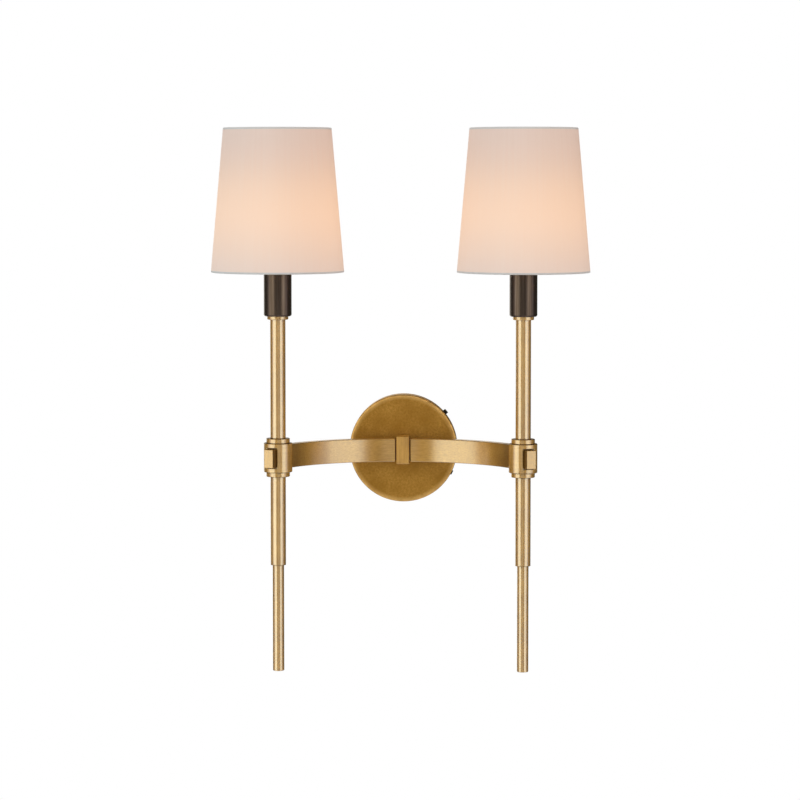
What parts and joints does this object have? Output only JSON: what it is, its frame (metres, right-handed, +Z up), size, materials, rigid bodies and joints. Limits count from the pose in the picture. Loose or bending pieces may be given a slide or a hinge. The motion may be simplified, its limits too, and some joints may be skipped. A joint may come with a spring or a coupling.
{
  "type": "double arm wall sconce",
  "caption": "Wall light with curved brass arms from a round canopy to upright stems, each with a candle lampholder under a tapered fabric shade.",
  "frame": {"origin": "centre of the mounting plate's back, on the wall plane, midway between its two box-screw slots", "axes": "+Z up, +Y into the wall, so the light stands out towards -Y; +X to the right of someone facing it"},
  "size_m": [0.3948, 0.1869, 0.5686],
  "materials": {
    "aged_brass": "darker mottled aged brass",
    "brass": "satin antique brass",
    "contact_brass": "bare",
    "dark_bronze": "satin dark bronze",
    "black_metal": "black oxide",
    "green_metal": "green",
    "zinc_steel": "zinc plated",
    "nickel": "nickel plated",
    "white_wire": "white enamel",
    "black_phenolic": "moulded",
    "frosted_glass": "frosted, lit",
    "shade_fabric": "fine slubbed fabric on a stiff liner",
    "lead_jacket": "soft jacket"
  },
  "bodies": {
    "root": {"canopy": "aged_brass", "centre_block": "brass", "ground_screw": "green_metal", "left_arm": "brass", "left_arm_neck": "brass", "left_collar": "brass", "left_collar_pipe": "zinc_steel", "left_collar_stud": "zinc_steel", "left_contacts": "contact_brass", "left_cover_nut": "zinc_steel", "left_holder_pipe": "zinc_steel", "left_lampholder": "black_phenolic", "left_lead": "lead_jacket", "left_lower_ring": "brass", "left_lower_tube": "brass", "left_slim_tube": "brass", "left_socket_cover": "dark_bronze", "left_tenon": "brass", "left_tube_cap": "brass", "left_upper_ring": "brass", "left_upper_tube": "brass", "mounting_plate": "zinc_steel", "right_arm": "brass", "right_arm_neck": "brass", "right_collar": "brass", "right_collar_pipe": "zinc_steel", "right_collar_stud": "zinc_steel", "right_contacts": "contact_brass", "right_cover_nut": "zinc_steel", "right_holder_pipe": "zinc_steel", "right_lampholder": "black_phenolic", "right_lead": "lead_jacket", "right_lower_ring": "brass", "right_lower_tube": "brass", "right_slim_tube": "brass", "right_socket_cover": "dark_bronze", "right_tenon": "brass", "right_tube_cap": "brass", "right_upper_ring": "brass", "right_upper_tube": "brass", "stem_nut": "zinc_steel", "stem_pipe": "zinc_steel", "stem_spacer": "brass", "stem_washer": "zinc_steel"},
    "left_shade": {"left_shade": "shade_fabric", "left_shade_fitter": "white_wire", "left_fitter_washer": "white_wire", "left_shade_top_ring": "white_wire"},
    "left_shade_nut": {"left_shade_nut": "dark_bronze"},
    "left_bulb": {"left_bulb_cap": "nickel", "left_bulb_glass": "frosted_glass"},
    "right_shade": {"right_shade": "shade_fabric", "right_shade_fitter": "white_wire", "right_fitter_washer": "white_wire", "right_shade_top_ring": "white_wire"},
    "right_shade_nut": {"right_shade_nut": "dark_bronze"},
    "right_bulb": {"right_bulb_cap": "nickel", "right_bulb_glass": "frosted_glass"},
    "lock_screw": {"lock_screw": "black_metal"},
    "set_screw": {"set_screw": "black_metal"}
  },
  "joints": [
    {"name": "left_shade_turn", "type": "hinge", "parent": "root", "child": "left_shade", "pos_m": [-0.128, -0.1175, 0.2085], "axis": [0, 0, 1], "continuous": true},
    {"name": "left_shade_nut_turn", "type": "hinge", "parent": "root", "child": "left_shade_nut", "pos_m": [-0.128, -0.1175, 0.2117], "axis": [0, 0, 1], "continuous": true},
    {"name": "left_bulb_turn", "type": "hinge", "parent": "root", "child": "left_bulb", "pos_m": [-0.128, -0.1175, 0.205], "axis": [0, 0, 1], "continuous": true},
    {"name": "right_shade_turn", "type": "hinge", "parent": "root", "child": "right_shade", "pos_m": [0.128, -0.1175, 0.2085], "axis": [0, 0, 1], "continuous": true},
    {"name": "right_shade_nut_turn", "type": "hinge", "parent": "root", "child": "right_shade_nut", "pos_m": [0.128, -0.1175, 0.2117], "axis": [0, 0, 1], "continuous": true},
    {"name": "right_bulb_turn", "type": "hinge", "parent": "root", "child": "right_bulb", "pos_m": [0.128, -0.1175, 0.205], "axis": [0, 0, 1], "continuous": true},
    {"name": "lock_screw_turn", "type": "hinge", "parent": "root", "child": "lock_screw", "pos_m": [0.04397, -0.0086, 0.03782], "axis": [0.7581, 0, 0.6521], "continuous": true},
    {"name": "set_screw_turn", "type": "hinge", "parent": "root", "child": "set_screw", "pos_m": [0.05135, -0.0086, -0.02696], "axis": [0.8854, 0, -0.4648], "continuous": true}
  ]
}
